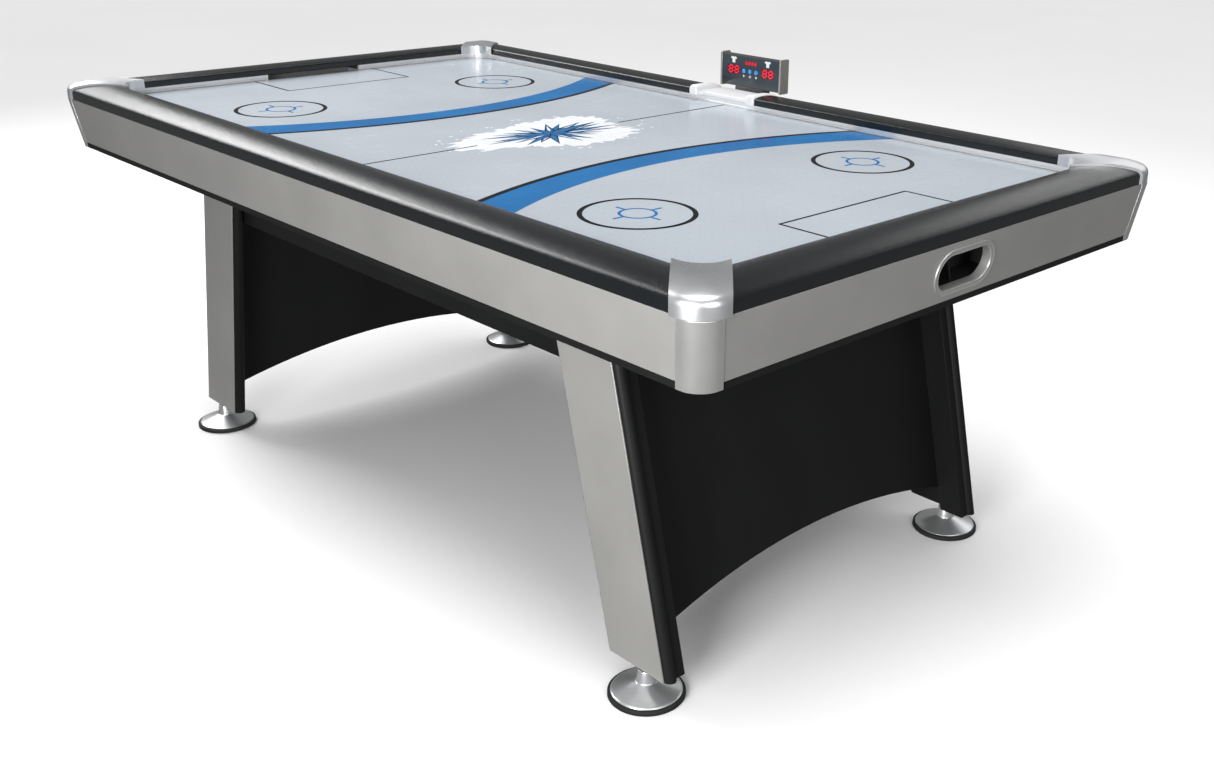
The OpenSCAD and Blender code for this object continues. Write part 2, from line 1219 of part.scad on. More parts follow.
module wiring() {
    z = chamber_floor + 6;
    reach = wall_y - chamber_board - 8;
    run = wall_x - chamber_board - 8;
    color([0.05, 0.05, 0.05])
        on_line() {
            translate([-run, reach, z])
                rotate([0, 90, 0])
                    cylinder(h = 2 * run, r = 3, $fn = 24);
            for (end = [-1, 1]) {
                translate([end * run, 0, z])
                    rotate([-90, 0, 0])
                        cylinder(h = reach, r = 3, $fn = 24);
            }
            translate([0, blower_radius + 6, z])
                rotate([-90, 0, 0])
                    cylinder(h = reach - blower_radius - 6, r = 3, $fn = 24);
        }
}

module score_housing() {
    wall = 2.5;
    front = score_front + 2.1;
    back = score_front + score_depth;
    stem = half_y + cap_proud + gap;
    color(black)
        on_line() {
            difference() {
                translate([-score_half, front, score_bottom])
                    cube([2 * score_half, back - front, score_height]);
                translate([-score_half + wall, front - 1, score_bottom + wall])
                    cube([
                        2 * (score_half - wall), back - front - wall + 1, score_height - 2 * wall
                    ]);
            }
            translate([-46, stem, field_height - 2])
                cube([92, back - 4 - stem, score_bottom - field_height + 2]);
        }
}

module score_window(left, right, low, high) {
    translate([left, score_front - 1, score_bottom + low])
        cube([right - left, 4, high - low]);
}

module score_face() {
    color([0.05, 0.06, 0.07])
        on_line()
            difference() {
                translate([-score_half, score_front, score_bottom])
                    cube([2 * score_half, 2, score_height]);
                for (place = [-1:1]) {
                    button_at(place)
                        translate([0, 0, -1])
                            cylinder(h = 4, r = button_radius + 0.3);
                }
                score_window(-75, -34, 28, 50);
                score_window(37, 78, 28, 50);
                score_window(-18, 22, 52, 62.5);
            }
}

module score_side_caps() {
    color(satin)
        on_line()
            for (end = [-1, 1]) {
                quadrant(end, 1)
                    translate([score_half + gap, score_front - 1, score_bottom - 4])
                        side_plate(score_depth + 3, score_height + 8.5, 4);
            }
}

module display_block(left, right, low, high) {
    translate([left + 0.3, score_front + 0.4, score_bottom + low + 0.3])
        cube([right - left - 0.6, 7.4, high - low - 0.6]);
}

module score_displays() {
    color([0.75, 0.05, 0.08])
        on_line() {
            display_block(-75, -34, 28, 50);
            display_block(37, 78, 28, 50);
            display_block(-18, 22, 52, 62.5);
        }
}

module score_board() {
    color([0.06, 0.30, 0.14])
        on_line()
            translate([-score_half + 6, score_front + 8, score_bottom + 6])
                cube([2 * score_half - 12, 1.6, score_height - 12]);
}

module button_start() {
    color([0.10, 0.45, 0.85])
        on_line()
            button(-1);
}

module button_power() {
    color([0.10, 0.45, 0.85])
        on_line()
            button(0);
}

module button_mode() {
    color([0.10, 0.45, 0.85])
        on_line()
            button(1);
}

playfield();
chamber_base();
chamber_walls();
side_stretchers();
apron_front();
apron_back();
apron_left();
apron_right();
rail_front();
rail_back_left();
rail_back_right();
rail_left();
rail_right();
fence_front();
fence_back();
fence_left();
fence_right();
fence_corners();
cap_front_left();
cap_front_right();
cap_back_left();
cap_back_right();
corner_posts();
centre_cap();
leg_front_left();
leg_front_right();
leg_back_left();
leg_back_right();
leg_facings();
leg_cleats();
end_panel_left();
end_panel_right();
leg_bolts();
leg_inserts();
pad_front_left();
pad_front_right();
pad_back_left();
pad_back_right();
leveler_front_left();
leveler_front_right();
leveler_back_left();
leveler_back_right();
puck_tray_left();
puck_tray_right();
return_bezel_left();
return_bezel_right();
goal_sensors();
blower_housing();
blower_motor();
impeller();
power_inlet();
wiring();
score_housing();
score_face();
score_side_caps();
score_displays();
score_board();
button_start();
button_power();
button_mode();
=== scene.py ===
"""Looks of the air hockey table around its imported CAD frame. Metres, Z up, floor at 0."""
import math
import random

import bmesh
import bpy
from mathutils import Matrix, Vector


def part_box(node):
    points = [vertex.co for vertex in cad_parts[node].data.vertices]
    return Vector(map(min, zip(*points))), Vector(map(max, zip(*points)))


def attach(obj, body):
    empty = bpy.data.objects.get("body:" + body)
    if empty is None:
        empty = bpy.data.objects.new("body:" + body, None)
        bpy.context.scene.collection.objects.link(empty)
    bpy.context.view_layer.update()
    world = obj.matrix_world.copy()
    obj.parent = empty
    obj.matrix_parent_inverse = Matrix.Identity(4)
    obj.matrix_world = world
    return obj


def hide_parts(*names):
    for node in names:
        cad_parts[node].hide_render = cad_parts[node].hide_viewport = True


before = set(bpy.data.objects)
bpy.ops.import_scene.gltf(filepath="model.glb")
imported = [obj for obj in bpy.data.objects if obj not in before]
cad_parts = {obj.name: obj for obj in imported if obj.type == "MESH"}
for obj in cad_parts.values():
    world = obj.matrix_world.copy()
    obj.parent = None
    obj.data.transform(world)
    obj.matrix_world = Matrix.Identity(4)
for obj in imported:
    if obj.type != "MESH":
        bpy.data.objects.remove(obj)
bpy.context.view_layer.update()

# ---------- sizes read from the frame ----------

half_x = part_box("rail_right")[1].x
front_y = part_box("rail_front")[0].y
back_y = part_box("rail_back_left")[1].y
line_y = (front_y + back_y) / 2
half_y = (back_y - front_y) / 2
field_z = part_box("playfield")[1].z

# ---------- sizes shared with the CAD source ----------

rail_width = 0.091
rail_crown = 0.034
crown_depth = 0.056
shoulder_r = 0.012
crown_r = 0.140
lip_r = 0.005
notch_depth = 0.018
notch_height = 0.014
cap_reach = 0.060
cap_proud = 0.004
corner_r = 0.050
field_corner = 0.048
post_r = 0.037
post_flap = 0.010
apron_lean = 0.016
apron_drop = 0.1125
centre_half = 0.107
rib_radius = 0.013
saddle_height = 0.023
fence_thick = 0.008
goal_half = 0.131
foot_x = 0.7835
foot_y = 0.441
score_front = 0.614
score_bottom = 0.829
corner_centre = rail_width + cap_proud + field_corner
fence_back = rail_width - notch_depth - 0.0002
fence_seat = notch_height + 0.0004
post_wall = 0.004

CORNERS = (
    ("front_left", -1, -1),
    ("front_right", 1, -1),
    ("back_left", -1, 1),
    ("back_right", 1, 1),
)

# ---------- materials ----------


def add_node(tree, kind, **values):
    """A shader node with its plain properties set."""
    node = tree.nodes.new(kind)
    for key, value in values.items():
        setattr(node, key, value)
    return node


def fill(node, values):
    """Sets the plain inputs of a shader node."""
    for key, value in values.items():
        node.inputs[key].default_value = value


def noise_of(tree, vector, scale, detail):
    """A noise texture on the given coordinates."""
    node = add_node(tree, "ShaderNodeTexNoise")
    fill(node, {"Scale": scale, "Detail": detail, "Roughness": 0.55})
    tree.links.new(vector, node.inputs["Vector"])
    return node.outputs["Fac"]


def ramp_of(tree, value, stops):
    """A colour ramp between two stops of (place, colour)."""
    node = add_node(tree, "ShaderNodeValToRGB")
    for element, (place, colour) in zip(node.color_ramp.elements, stops):
        element.position = place
        element.color = (*colour, 1.0)
    tree.links.new(value, node.inputs["Fac"])
    return node.outputs["Color"]


def spread_of(tree, value, low, high):
    """Maps a noise value to a range."""
    node = add_node(tree, "ShaderNodeMapRange")
    fill(node, {"From Min": 0.3, "From Max": 0.7, "To Min": low, "To Max": high})
    tree.links.new(value, node.inputs["Value"])
    return node.outputs["Result"]


def coordinates(tree, stretch):
    """Object coordinates in metres, stretched."""
    place = add_node(tree, "ShaderNodeTexCoord")
    mapping = add_node(tree, "ShaderNodeMapping")
    fill(mapping, {"Scale": stretch})
    tree.links.new(place.outputs["Object"], mapping.inputs["Vector"])
    return mapping.outputs["Vector"]


def surface(
    name, light, dark, rough, metallic=0.0, blotch=6.0, grain=900.0, bump=0.0001,
    strength=0.3, stretch=(1.0, 1.0, 1.0), specular=0.5, coat=0.0, fine=0.25,
):
    """A surface that drifts between two shades, with a fine grain in colour, gloss and relief."""
    material = bpy.data.materials.new(name)
    material.use_nodes = True
    tree = material.node_tree
    link = tree.links.new
    shader = tree.nodes["Principled BSDF"]
    vector = coordinates(tree, stretch)
    wide = noise_of(tree, vector, blotch, 4.0)
    small = noise_of(tree, vector, grain, 2.0)
    blend = add_node(tree, "ShaderNodeMix", data_type="FLOAT")
    fill(blend, {"Factor": fine})
    link(wide, blend.inputs["A"])
    link(small, blend.inputs["B"])
    colour = ramp_of(tree, blend.outputs["Result"], ((0.38, dark), (0.62, light)))
    link(colour, shader.inputs["Base Color"])
    link(spread_of(tree, blend.outputs["Result"], *rough), shader.inputs["Roughness"])
    relief = add_node(tree, "ShaderNodeBump")
    fill(relief, {"Strength": strength, "Distance": bump})
    link(small, relief.inputs["Height"])
    link(relief.outputs["Normal"], shader.inputs["Normal"])
    fill(shader, {"Metallic": metallic, "Specular IOR Level": specular})
    fill(shader, {"Coat Weight": coat, "Coat Roughness": 0.08})
    return material


def hole_mask(tree, pitch, radius):
    """One inside the playing board's air holes, on a square grid."""
    link = tree.links.new
    place = add_node(tree, "ShaderNodeTexCoord")
    split = add_node(tree, "ShaderNodeSeparateXYZ")
    link(place.outputs["Object"], split.inputs["Vector"])
    parts = []
    for axis, start in (("X", 0.0), ("Y", line_y)):
        shift = add_node(tree, "ShaderNodeMath", operation="SUBTRACT")
        shift.inputs[1].default_value = start + pitch / 2
        link(split.outputs[axis], shift.inputs[0])
        fold = add_node(tree, "ShaderNodeMath", operation="PINGPONG")
        fold.inputs[1].default_value = pitch / 2
        link(shift.outputs[0], fold.inputs[0])
        parts.append(fold.outputs[0])
    both = add_node(tree, "ShaderNodeCombineXYZ")
    link(parts[0], both.inputs["X"])
    link(parts[1], both.inputs["Y"])
    length = add_node(tree, "ShaderNodeVectorMath", operation="LENGTH")
    link(both.outputs[0], length.inputs[0])
    inside = add_node(tree, "ShaderNodeMath", operation="LESS_THAN")
    inside.inputs[1].default_value = radius
    link(length.outputs["Value"], inside.inputs[0])
    return inside.outputs[0]


def field_material():
    """Gloss pale blue-grey laminate with a grid of air holes drawn as near-black dots of painted
    shade.
    """
    material = surface(
        "field_laminate", (0.50, 0.545, 0.60), (0.47, 0.515, 0.57), (0.22, 0.30),
        blotch=3.0, bump=0.00005, strength=0.15, specular=0.35, fine=0.12,
    )
    tree = material.node_tree
    link = tree.links.new
    shader = tree.nodes["Principled BSDF"]
    colour = shader.inputs["Base Color"].links[0].from_socket
    mix = add_node(tree, "ShaderNodeMix", data_type="RGBA")
    link(hole_mask(tree, 0.0254, 0.0007), mix.inputs["Factor"])
    link(colour, mix.inputs["A"])
    # Near-black dot colour: painted shade standing in for the dark inside of each air hole.
    mix.inputs["B"].default_value = (0.04, 0.05, 0.06, 1.0)
    link(mix.outputs["Result"], shader.inputs["Base Color"])
    return material


def glow_material(name, colour, power):
    """A display segment that shines through tinted plastic."""
    material = surface(name, colour, tuple(c * 0.6 for c in colour), (0.25, 0.4))
    shader = material.node_tree.nodes["Principled BSDF"]
    fill(shader, {"Emission Color": (*colour, 1.0), "Emission Strength": power})
    return material


mats = {
    "field": field_material(),
    "ink_black": surface(
        "ink_black", (0.006, 0.008, 0.010), (0.004, 0.005, 0.007), (0.22, 0.30),
        specular=0.08, bump=0.00003,
    ),
    "ink_blue": surface(
        "ink_blue", (0.018, 0.165, 0.42), (0.014, 0.14, 0.37), (0.22, 0.30),
        specular=0.08, bump=0.00003,
    ),
    "ink_white": surface(
        "ink_white", (0.93, 0.95, 0.97), (0.84, 0.88, 0.93), (0.22, 0.30),
        specular=0.35, grain=60.0, blotch=25.0, bump=0.00003, fine=0.5,
    ),
    "rail": surface(
        "rail_orange_peel", (0.0060, 0.0078, 0.0090), (0.0038, 0.0050, 0.0058), (0.10, 0.26),
        grain=420.0, bump=0.0007, strength=0.8, specular=0.62, fine=0.6,
    ),
    "silver_board": surface(
        "silver_laminate", (0.41, 0.406, 0.392), (0.355, 0.352, 0.34), (0.34, 0.48),
        metallic=0.35, grain=1100.0, bump=0.00006, strength=0.25, blotch=5.0, fine=0.45,
    ),
    "black_board": surface(
        "black_laminate", (0.0090, 0.0100, 0.0094), (0.0060, 0.0066, 0.0062), (0.42, 0.6),
        grain=700.0, bump=0.0002, strength=0.35, specular=0.22, fine=0.45,
        stretch=(1.0, 1.0, 0.35),
    ),
    "fence": surface(
        "fence_aluminium", (0.93, 0.935, 0.94), (0.88, 0.885, 0.89), (0.34, 0.44),
        metallic=0.5, bump=0.00002, stretch=(0.05, 1.0, 1.0),
    ),
    "satin": surface(
        "satin_silver", (0.72, 0.73, 0.745), (0.64, 0.65, 0.67), (0.24, 0.36),
        metallic=0.85, bump=0.00005, strength=0.25, fine=0.35,
    ),
    # The centre cap's silver: a paler, less metallic copy of the satin silver, a painted highlight
    # for the bright light that falls on it.
    "cap_painted_highlight": surface(
        "cap_silver_painted_highlight", (0.90, 0.91, 0.92), (0.85, 0.86, 0.87), (0.42, 0.52),
        metallic=0.25, bump=0.00005, strength=0.25, fine=0.35,
    ),
    "post": surface(
        "post_silver", (0.70, 0.70, 0.69), (0.62, 0.62, 0.61), (0.30, 0.42),
        metallic=0.8, grain=1000.0, bump=0.00005, strength=0.25, fine=0.35,
    ),
    "foot_metal": surface(
        "foot_satin_metal", (0.80, 0.81, 0.82), (0.72, 0.73, 0.74), (0.26, 0.36),
        metallic=0.85, grain=700.0, bump=0.00006, strength=0.3, fine=0.35,
    ),
    "rubber": surface(
        "rubber", (0.022, 0.023, 0.023), (0.014, 0.014, 0.015), (0.62, 0.8),
        grain=500.0, bump=0.0003, strength=0.4, specular=0.3,
    ),
    "steel": surface(
        "zinc_steel", (0.66, 0.66, 0.65), (0.54, 0.54, 0.53), (0.28, 0.42),
        metallic=1.0, grain=800.0,
    ),
    "bezel": surface(
        "bezel_silver", (0.56, 0.56, 0.545), (0.48, 0.48, 0.47), (0.30, 0.42),
        metallic=0.55, bump=0.00006,
    ),
    "tray": surface(
        "tray_black", (0.020, 0.021, 0.022), (0.012, 0.012, 0.013), (0.5, 0.65),
        grain=600.0, bump=0.0002,
    ),
    "housing": surface(
        "score_housing_plastic", (0.050, 0.050, 0.048), (0.036, 0.036, 0.035), (0.42, 0.55),
        bump=0.00015, strength=0.4,
    ),
    "side_cap": surface(
        "score_side_plastic", (0.40, 0.385, 0.355), (0.34, 0.325, 0.30), (0.30, 0.42),
        metallic=0.6, bump=0.00006, strength=0.3,
    ),
    "score_face": surface(
        "score_face_film", (0.030, 0.042, 0.050), (0.018, 0.026, 0.032), (0.14, 0.24),
        coat=0.4, bump=0.00003,
    ),
    "board_green": surface(
        "circuit_green", (0.035, 0.20, 0.09), (0.02, 0.13, 0.06), (0.3, 0.45), grain=700.0,
    ),
    "display": surface(
        "display_block", (0.085, 0.006, 0.012), (0.060, 0.004, 0.008), (0.16, 0.25),
        coat=0.3, bump=0.00003,
    ),
    "digit": glow_material("digit_red", (0.72, 0.010, 0.035), 0.55),
    "icon": surface("icon_white", (0.78, 0.79, 0.80), (0.70, 0.71, 0.72), (0.3, 0.4)),
    "button": surface(
        "button_blue", (0.025, 0.30, 0.78), (0.018, 0.24, 0.68), (0.14, 0.22),
        coat=0.5, bump=0.00003,
    ),
    "cable": surface(
        "cable_black", (0.02, 0.02, 0.02), (0.012, 0.012, 0.012), (0.5, 0.65), grain=400.0,
    ),
    "motor": surface(
        "motor_grey", (0.32, 0.33, 0.34), (0.24, 0.25, 0.26), (0.35, 0.5),
        metallic=0.6, grain=400.0,
    ),
    "floor": surface(
        "floor_pale", (0.91, 0.91, 0.91), (0.895, 0.895, 0.895), (0.75, 0.85),
        blotch=0.7, grain=30.0, bump=0.0001, strength=0.05, specular=0.1,
    ),
}

# ---------- mesh helpers ----------


def smooth_by_angle(mesh, degrees=35.0):
    """Smooth shading with sharp edges kept past the given angle."""
    mesh.shade_smooth()
    mesh.set_sharp_from_angle(angle=math.radians(degrees))


def place_piece(name, mesh, look, node, body):
    """Puts a mesh into the scene as a piece that rides on a body; it may replace a CAD node."""
    mesh.materials.append(mats[look])
    piece = bpy.data.objects.new(name, mesh)
    bpy.context.scene.collection.objects.link(piece)
    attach(piece, body)
    if node:
        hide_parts(node)
    return piece


def new_piece(name, shape, look, node=None, body="table", degrees=35.0):
    """A piece made of (verts, faces)."""
    verts, faces = shape
    mesh = bpy.data.meshes.new(name)
    mesh.from_pydata([tuple(v) for v in verts], [], faces)
    tidy(mesh)
    smooth_by_angle(mesh, degrees)
    return place_piece(name, mesh, look, node, body)


def tidy(mesh):
    """Merges doubled points and turns every face outward."""
    bm = bmesh.new()
    bm.from_mesh(mesh)
    bmesh.ops.remove_doubles(bm, verts=bm.verts, dist=1e-6)
    bmesh.ops.recalc_face_normals(bm, faces=bm.faces)
    bm.to_mesh(mesh)
    bm.free()


def soften(piece, width, segments=2, degrees=35.0):
    """Rounds a piece's sharp edges."""
    bevel = piece.modifiers.new("edges", "BEVEL")
    bevel.width = width
    bevel.segments = segments
    bevel.limit_method = "ANGLE"
    bevel.angle_limit = math.radians(degrees)
    return piece


def refined(node, name, look, edge, degrees=30.0):
    """A bevelled, smoothly shaded copy of a CAD node, which it replaces."""
    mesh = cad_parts[node].data.copy()
    mesh.name = name
    mesh.materials.clear()
    bm = bmesh.new()
    bm.from_mesh(mesh)
    bmesh.ops.remove_doubles(bm, verts=bm.verts, dist=2e-6)
    bmesh.ops.dissolve_limit(bm, angle_limit=math.radians(0.5), verts=bm.verts, edges=bm.edges)
    bmesh.ops.recalc_face_normals(bm, faces=bm.faces)
    for face in bm.faces:
        face.material_index = 0
    bm.to_mesh(mesh)
    bm.free()
    smooth_by_angle(mesh, degrees)
    piece = place_piece(name, mesh, look, node, "table")
    if edge:
        soften(piece, edge)
    return piece


def paint_node(node, look):
    """Gives a carried-over CAD node its material."""
    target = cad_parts[node]
    if not target.material_slots:
        target.data.materials.append(mats[look])
    for place in target.material_slots:
        place.material = mats[look]


def cut(piece, verts, faces):
    """Subtracts a closed mesh from a piece."""
    mesh = bpy.data.meshes.new("cutter")
    mesh.from_pydata([tuple(v) for v in verts], [], faces)
    tidy(mesh)
    tool = bpy.data.objects.new("cutter", mesh)
    bpy.context.scene.collection.objects.link(tool)
    step = piece.modifiers.new("cut", "BOOLEAN")
    step.operation = "DIFFERENCE"
    step.solver = "EXACT"
    step.object = tool
    graph = bpy.context.evaluated_depsgraph_get()
    result = bpy.data.meshes.new_from_object(piece.evaluated_get(graph), depsgraph=graph)
    piece.modifiers.clear()
    old = piece.data
    piece.data = result
    bpy.data.meshes.remove(old)
    bpy.data.objects.remove(tool)
    bpy.data.meshes.remove(mesh)
    smooth_by_angle(piece.data)


def block(low, high):
    """The points and faces of a box."""
    xs, ys, zs = zip(low, high)
    verts = [(x, y, z) for z in zs for y in ys for x in xs]
    faces = [(0, 1, 3, 2), (4, 6, 7, 5), (0, 4, 5, 1), (2, 3, 7, 6), (0, 2, 6, 4), (1, 5, 7, 3)]
    return verts, faces


def loft(loops, closed_ends=True):
    """Joins equal loops of points into a tube."""
    count = len(loops[0])
    verts = [point for loop in loops for point in loop]
    faces = []
    for k in range(len(loops) - 1):
        for i in range(count):
            j = (i + 1) % count
            faces.append((k * count + i, k * count + j, (k + 1) * count + j, (k + 1) * count + i))
    if closed_ends:
        faces.append(tuple(range(count - 1, -1, -1)))
        faces.append(tuple(range((len(loops) - 1) * count, len(loops) * count)))
    return verts, faces


def merged(parts):
    """Puts several (verts, faces) together."""
    verts, faces = [], []
    for part_verts, part_faces in parts:
        start = len(verts)
        verts.extend(part_verts)
        faces.extend(tuple(start + i for i in face) for face in part_faces)
    return verts, faces


def lathe(profile, centre, steps=72):
    """Turns (radius, height) points about a vertical axis; the ends close on the axis."""
    verts, faces = [], []
    rings = []
    for radius, height in profile:
        if radius < 1e-6:
            rings.append([len(verts)])
            verts.append((centre[0], centre[1], height))
            continue
        ring = []
        for i in range(steps):
            angle = 2 * math.pi * i / steps
            ring.append(len(verts))
            verts.append((
                centre[0] + radius * math.cos(angle),
                centre[1] + radius * math.sin(angle),
                height,
            ))
        rings.append(ring)
    for low, high in zip(rings, rings[1:]):
        for i in range(steps):
            j = (i + 1) % steps
            if len(low) == 1:
                faces.append((low[0], high[j], high[i]))
            elif len(high) == 1:
                faces.append((low[i], low[j], high[0]))
            else:
                faces.append((low[i], low[j], high[j], high[i]))
    return verts, faces


def arc(centre_x, centre_y, radius, start, end, steps):
    """Points on an arc, angles in degrees."""
    points = []
    for i in range(steps + 1):
        angle = math.radians(start + (end - start) * i / steps)
        points.append((centre_x + radius * math.cos(angle), centre_y + radius * math.sin(angle)))
    return points


# ---------- rails ----------

shoulder_z = (
    rail_crown - crown_r
    + math.sqrt((crown_r - shoulder_r) ** 2 - (crown_depth - shoulder_r) ** 2)
)
shoulder_end = 90 + math.degrees(math.asin((crown_depth - shoulder_r) / (crown_r - shoulder_r)))
lip_depth = rail_width - lip_r
lip_z = (
    rail_crown - crown_r
    + math.sqrt((crown_r - lip_r) ** 2 - (lip_depth - crown_depth) ** 2)
)
lip_start = 90 - math.degrees(math.asin((lip_depth - crown_depth) / (crown_r - lip_r)))


def rail_section():
    """The rail's outline: depth in from the outer face, and height over the playing surface."""
    points = [(0.0, 0.0)]
    points += arc(shoulder_r, shoulder_z, shoulder_r, 180, shoulder_end, 12)
    points += arc(
        crown_depth, rail_crown - crown_r, crown_r, shoulder_end - 1.5, lip_start + 1.5, 18
    )
    points += arc(lip_depth, lip_z, lip_r, lip_start, 0, 8)
    points += [
        (rail_width, notch_height + 0.001),
        (rail_width - 0.001, notch_height),
        (rail_width - notch_depth, notch_height),
        (rail_width - notch_depth, 0.0),
    ]
    return points


def turned(side):
    """Maps (along, depth, height) of a rail on a named side to the part's frame."""
    def place(along, depth, height):
        if side == "front":
            return (along, line_y - half_y + depth, field_z + height)
        if side == "back":
            return (-along, line_y + half_y - depth, field_z + height)
        if side == "right":
            return (half_x - depth, line_y + along, field_z + height)
        return (-half_x + depth, line_y - along, field_z + height)
    return place


def rail(name, node, side, start=None, end=None):
    """A padded-looking rail between two corner caps, its ends cut on the diagonal."""
    half = half_x if side in ("front", "back") else half_y
    reach = half - cap_reach - 0.0002
    place = turned(side)
    section = rail_section()
    loops = []
    for which, fixed in ((-1, start), (1, end)):
        loop = []
        for depth, height in section:
            along = which * (reach - depth) if fixed is None else fixed
            loop.append(place(along, depth, height))
        loops.append(loop)
    piece = new_piece(name, loft(loops), "rail", node)
    if side in ("left", "right"):
        low = (-goal_half, 0.015, -0.001)
        high = (goal_half, rail_width + 0.001, notch_height)
        verts, faces = block(low, high)
        cut(piece, [place(*v) for v in verts], faces)
    return piece


def make_rails():
    """All five rails."""
    rail("rail_front_board", "rail_front", "front")
    rail("rail_back_board_left", "rail_back_left", "back", start=centre_half + 0.0002)
    rail("rail_back_board_right", "rail_back_right", "back", end=-centre_half - 0.0002)
    rail("rail_end_board_left", "rail_left", "left")
    rail("rail_end_board_right", "rail_right", "right")


# ---------- corner caps and posts ----------


def cap_height(depth):
    """Height of a cap's skin at a depth in from its own outer face, over the playing surface."""
    x = depth - cap_proud
    shoulder = shoulder_r + cap_proud
    join = shoulder_r + shoulder * math.cos(math.radians(shoulder_end))
    if x <= join:
        inside = max(shoulder ** 2 - (shoulder_r - x) ** 2, 0.0)
        return shoulder_z + math.sqrt(inside)
    if x < crown_depth:
        return rail_crown - crown_r + math.sqrt((crown_r + cap_proud) ** 2 - (x - crown_depth) ** 2)
    return rail_crown + cap_proud


def cap_depth(x, y):
    """How far a point of the plan lies inside a cap's rounded outline."""
    if x < corner_r and y < corner_r:
        return corner_r + cap_proud - math.hypot(corner_r - x, corner_r - y)
    return min(x, y) + cap_proud


def cap_skin(x, y):
    """Height of a corner cap's top, dished towards the playing field's rounded corner."""
    outer = cap_height(cap_depth(x, y))
    if x < corner_centre and y < corner_centre:
        inner = math.hypot(corner_centre - x, corner_centre - y) - field_corner
    else:
        inner = max(rail_width + cap_proud - min(x, y), 0.0)
    dish = rail_crown + cap_proud - 0.0035 + 0.0045 * min(inner / 0.045, 1.6)
    soft = 0.0012
    mean = (outer + dish) / 2
    gap = (outer - dish) / 2
    return mean - math.sqrt(gap * gap + soft * soft) + soft


def crossing(low, high, past):
    """The place between two bounds where a test turns true, found by halving."""
    for _ in range(40):
        middle = (low + high) / 2
        if past(middle):
            high = middle
        else:
            low = middle
    return (low + high) / 2


def on_plan(v, u):
    """Plan place, from the sharp corner, of a point v along the corner's diagonal and u across it."""
    return (v + u) / math.sqrt(2), (v - u) / math.sqrt(2)


def depth_distance(u, depth):
    """The distance along the diagonal where a cap's outline reaches a depth."""
    return crossing(-0.05, 0.35, lambda v: cap_depth(*on_plan(v, u)) >= depth)


def in_field(x, y):
    """True past the playing field's rounded corner."""
    edge = rail_width + cap_proud
    if x <= edge or y <= edge:
        return False
    if x < corner_centre and y < corner_centre:
        return math.hypot(corner_centre - x, corner_centre - y) < field_corner
    return True


def inner_distance(u):
    """The distance along the diagonal where a cap ends at the playing field."""
    return crossing(0.06, 0.30, lambda v: in_field(*on_plan(v, u)))


def over_fence(x, y):
    """True where a cap reaches over the fence."""
    if x < corner_centre and y < corner_centre:
        return math.hypot(corner_centre - x, corner_centre - y) < corner_centre - fence_back
    return min(x, y) > fence_back


def fence_distance(u):
    """The distance along the diagonal where the fence begins."""
    return crossing(0.05, 0.30, lambda v: over_fence(*on_plan(v, u)))


def cap_rows():
    """Depths of a cap's rows of points, closer together over the shoulder."""
    shoulder = shoulder_r + cap_proud
    rows = []
    for i in range(13):
        angle = math.radians(180 - (180 - shoulder_end) * i / 12)
        rows.append(shoulder_r + shoulder * math.cos(angle) + cap_proud)
    return rows


def corner_cap(name, node, end, side):
    """A moulded cap: its top blends both rails' sections around the rounded corner."""
    spread = cap_reach / math.sqrt(2)
    columns = 40
    fixed = cap_rows()
    outer_rows, inner_rows = 16, 10
    top, bottom = [], []
    for i in range(columns + 1):
        u = -spread + 2 * spread * i / columns
        start = depth_distance(u, fixed[-1])
        seat = fence_distance(u)
        beyond = seat + 0.0002
        stop = inner_distance(u)
        line = [depth_distance(u, depth) for depth in fixed]
        line += [start + (seat - start) * k / outer_rows for k in range(1, outer_rows + 1)]
        line += [beyond + (stop - beyond) * k / inner_rows for k in range(inner_rows + 1)]
        for v in line:
            x, y = on_plan(v, u)
            under = 0.0003
            if v >= beyond:
                under = fence_seat
            elif cap_depth(x, y) < 0.002:
                under = -0.0018
            for heap, height in ((top, cap_skin(x, y)), (bottom, under)):
                heap.append((end * (half_x - x), line_y + side * (half_y - y), field_z + height))
    rows = len(fixed) + outer_rows + inner_rows + 1
    faces = []
    total = len(top)
    for i in range(columns):
        for k in range(rows - 1):
            a = i * rows + k
            b = a + rows
            faces.append((a, a + 1, b + 1, b))
            faces.append((total + a, total + b, total + b + 1, total + a + 1))
    for i in (0, columns):
        for k in range(rows - 1):
            a = i * rows + k
            faces.append((a, a + 1, total + a + 1, total + a))
    for i in range(columns):
        for k in (0, rows - 1):
            a = i * rows + k
            faces.append((a, a + rows, total + a + rows, total + a))
    piece = new_piece(name, (top + bottom, faces), "satin", node, degrees=30)
    return soften(piece, 0.0009, 3, 40)


def post_outline():
    """The post's thin section about its own axis, with a flat flap at both ends."""
    outline = [(-post_r, post_flap)]
    outline += arc(0, 0, post_r, 180, 270, 36)
    outline += [(post_flap, -post_r), (post_flap, -post_r + post_wall)]
    outline += arc(0, 0, post_r - post_wall, 270, 180, 36)
    outline += [(-post_r + post_wall, post_flap)]
    return outline


def corner_post(name, end, side):
    """A silver post that leans with the aprons."""
    loops = []
    centre = post_r - 0.001
    for height in (-apron_drop - 0.0005, -0.0022):
        shift = -height * apron_lean / apron_drop
        loop = []
        for x, y in post_outline():
            px = x + centre + shift
            py = y + centre + shift
            loop.append((end * (half_x - px), line_y + side * (half_y - py), field_z + height))
        loops.append(loop)
    piece = new_piece(name, loft(loops), "post", "corner_posts")
    return soften(piece, 0.0006, 2, 50)


def make_corners():
    """Caps and posts at all four corners."""
    for place, end, side in CORNERS:
        corner_cap(f"corner_cap_{place}", f"cap_{place}", end, side)
        corner_post(f"corner_post_{place}", end, side)


def rib_ring(middle, depth, width, top, low):
    """The arched outline of a rib at one depth, from its left foot over to its right foot."""
    place = turned("back")
    springing = max(top - width, low + 0.001)
    ring = [place(middle - width, depth, low)]
    for a, h in arc(0.0, 0.0, 1.0, 180, 0, 20):
        ring.append(place(middle + a * width, depth, springing + h * (top - springing)))
    ring.append(place(middle + width, depth, low))
    return ring


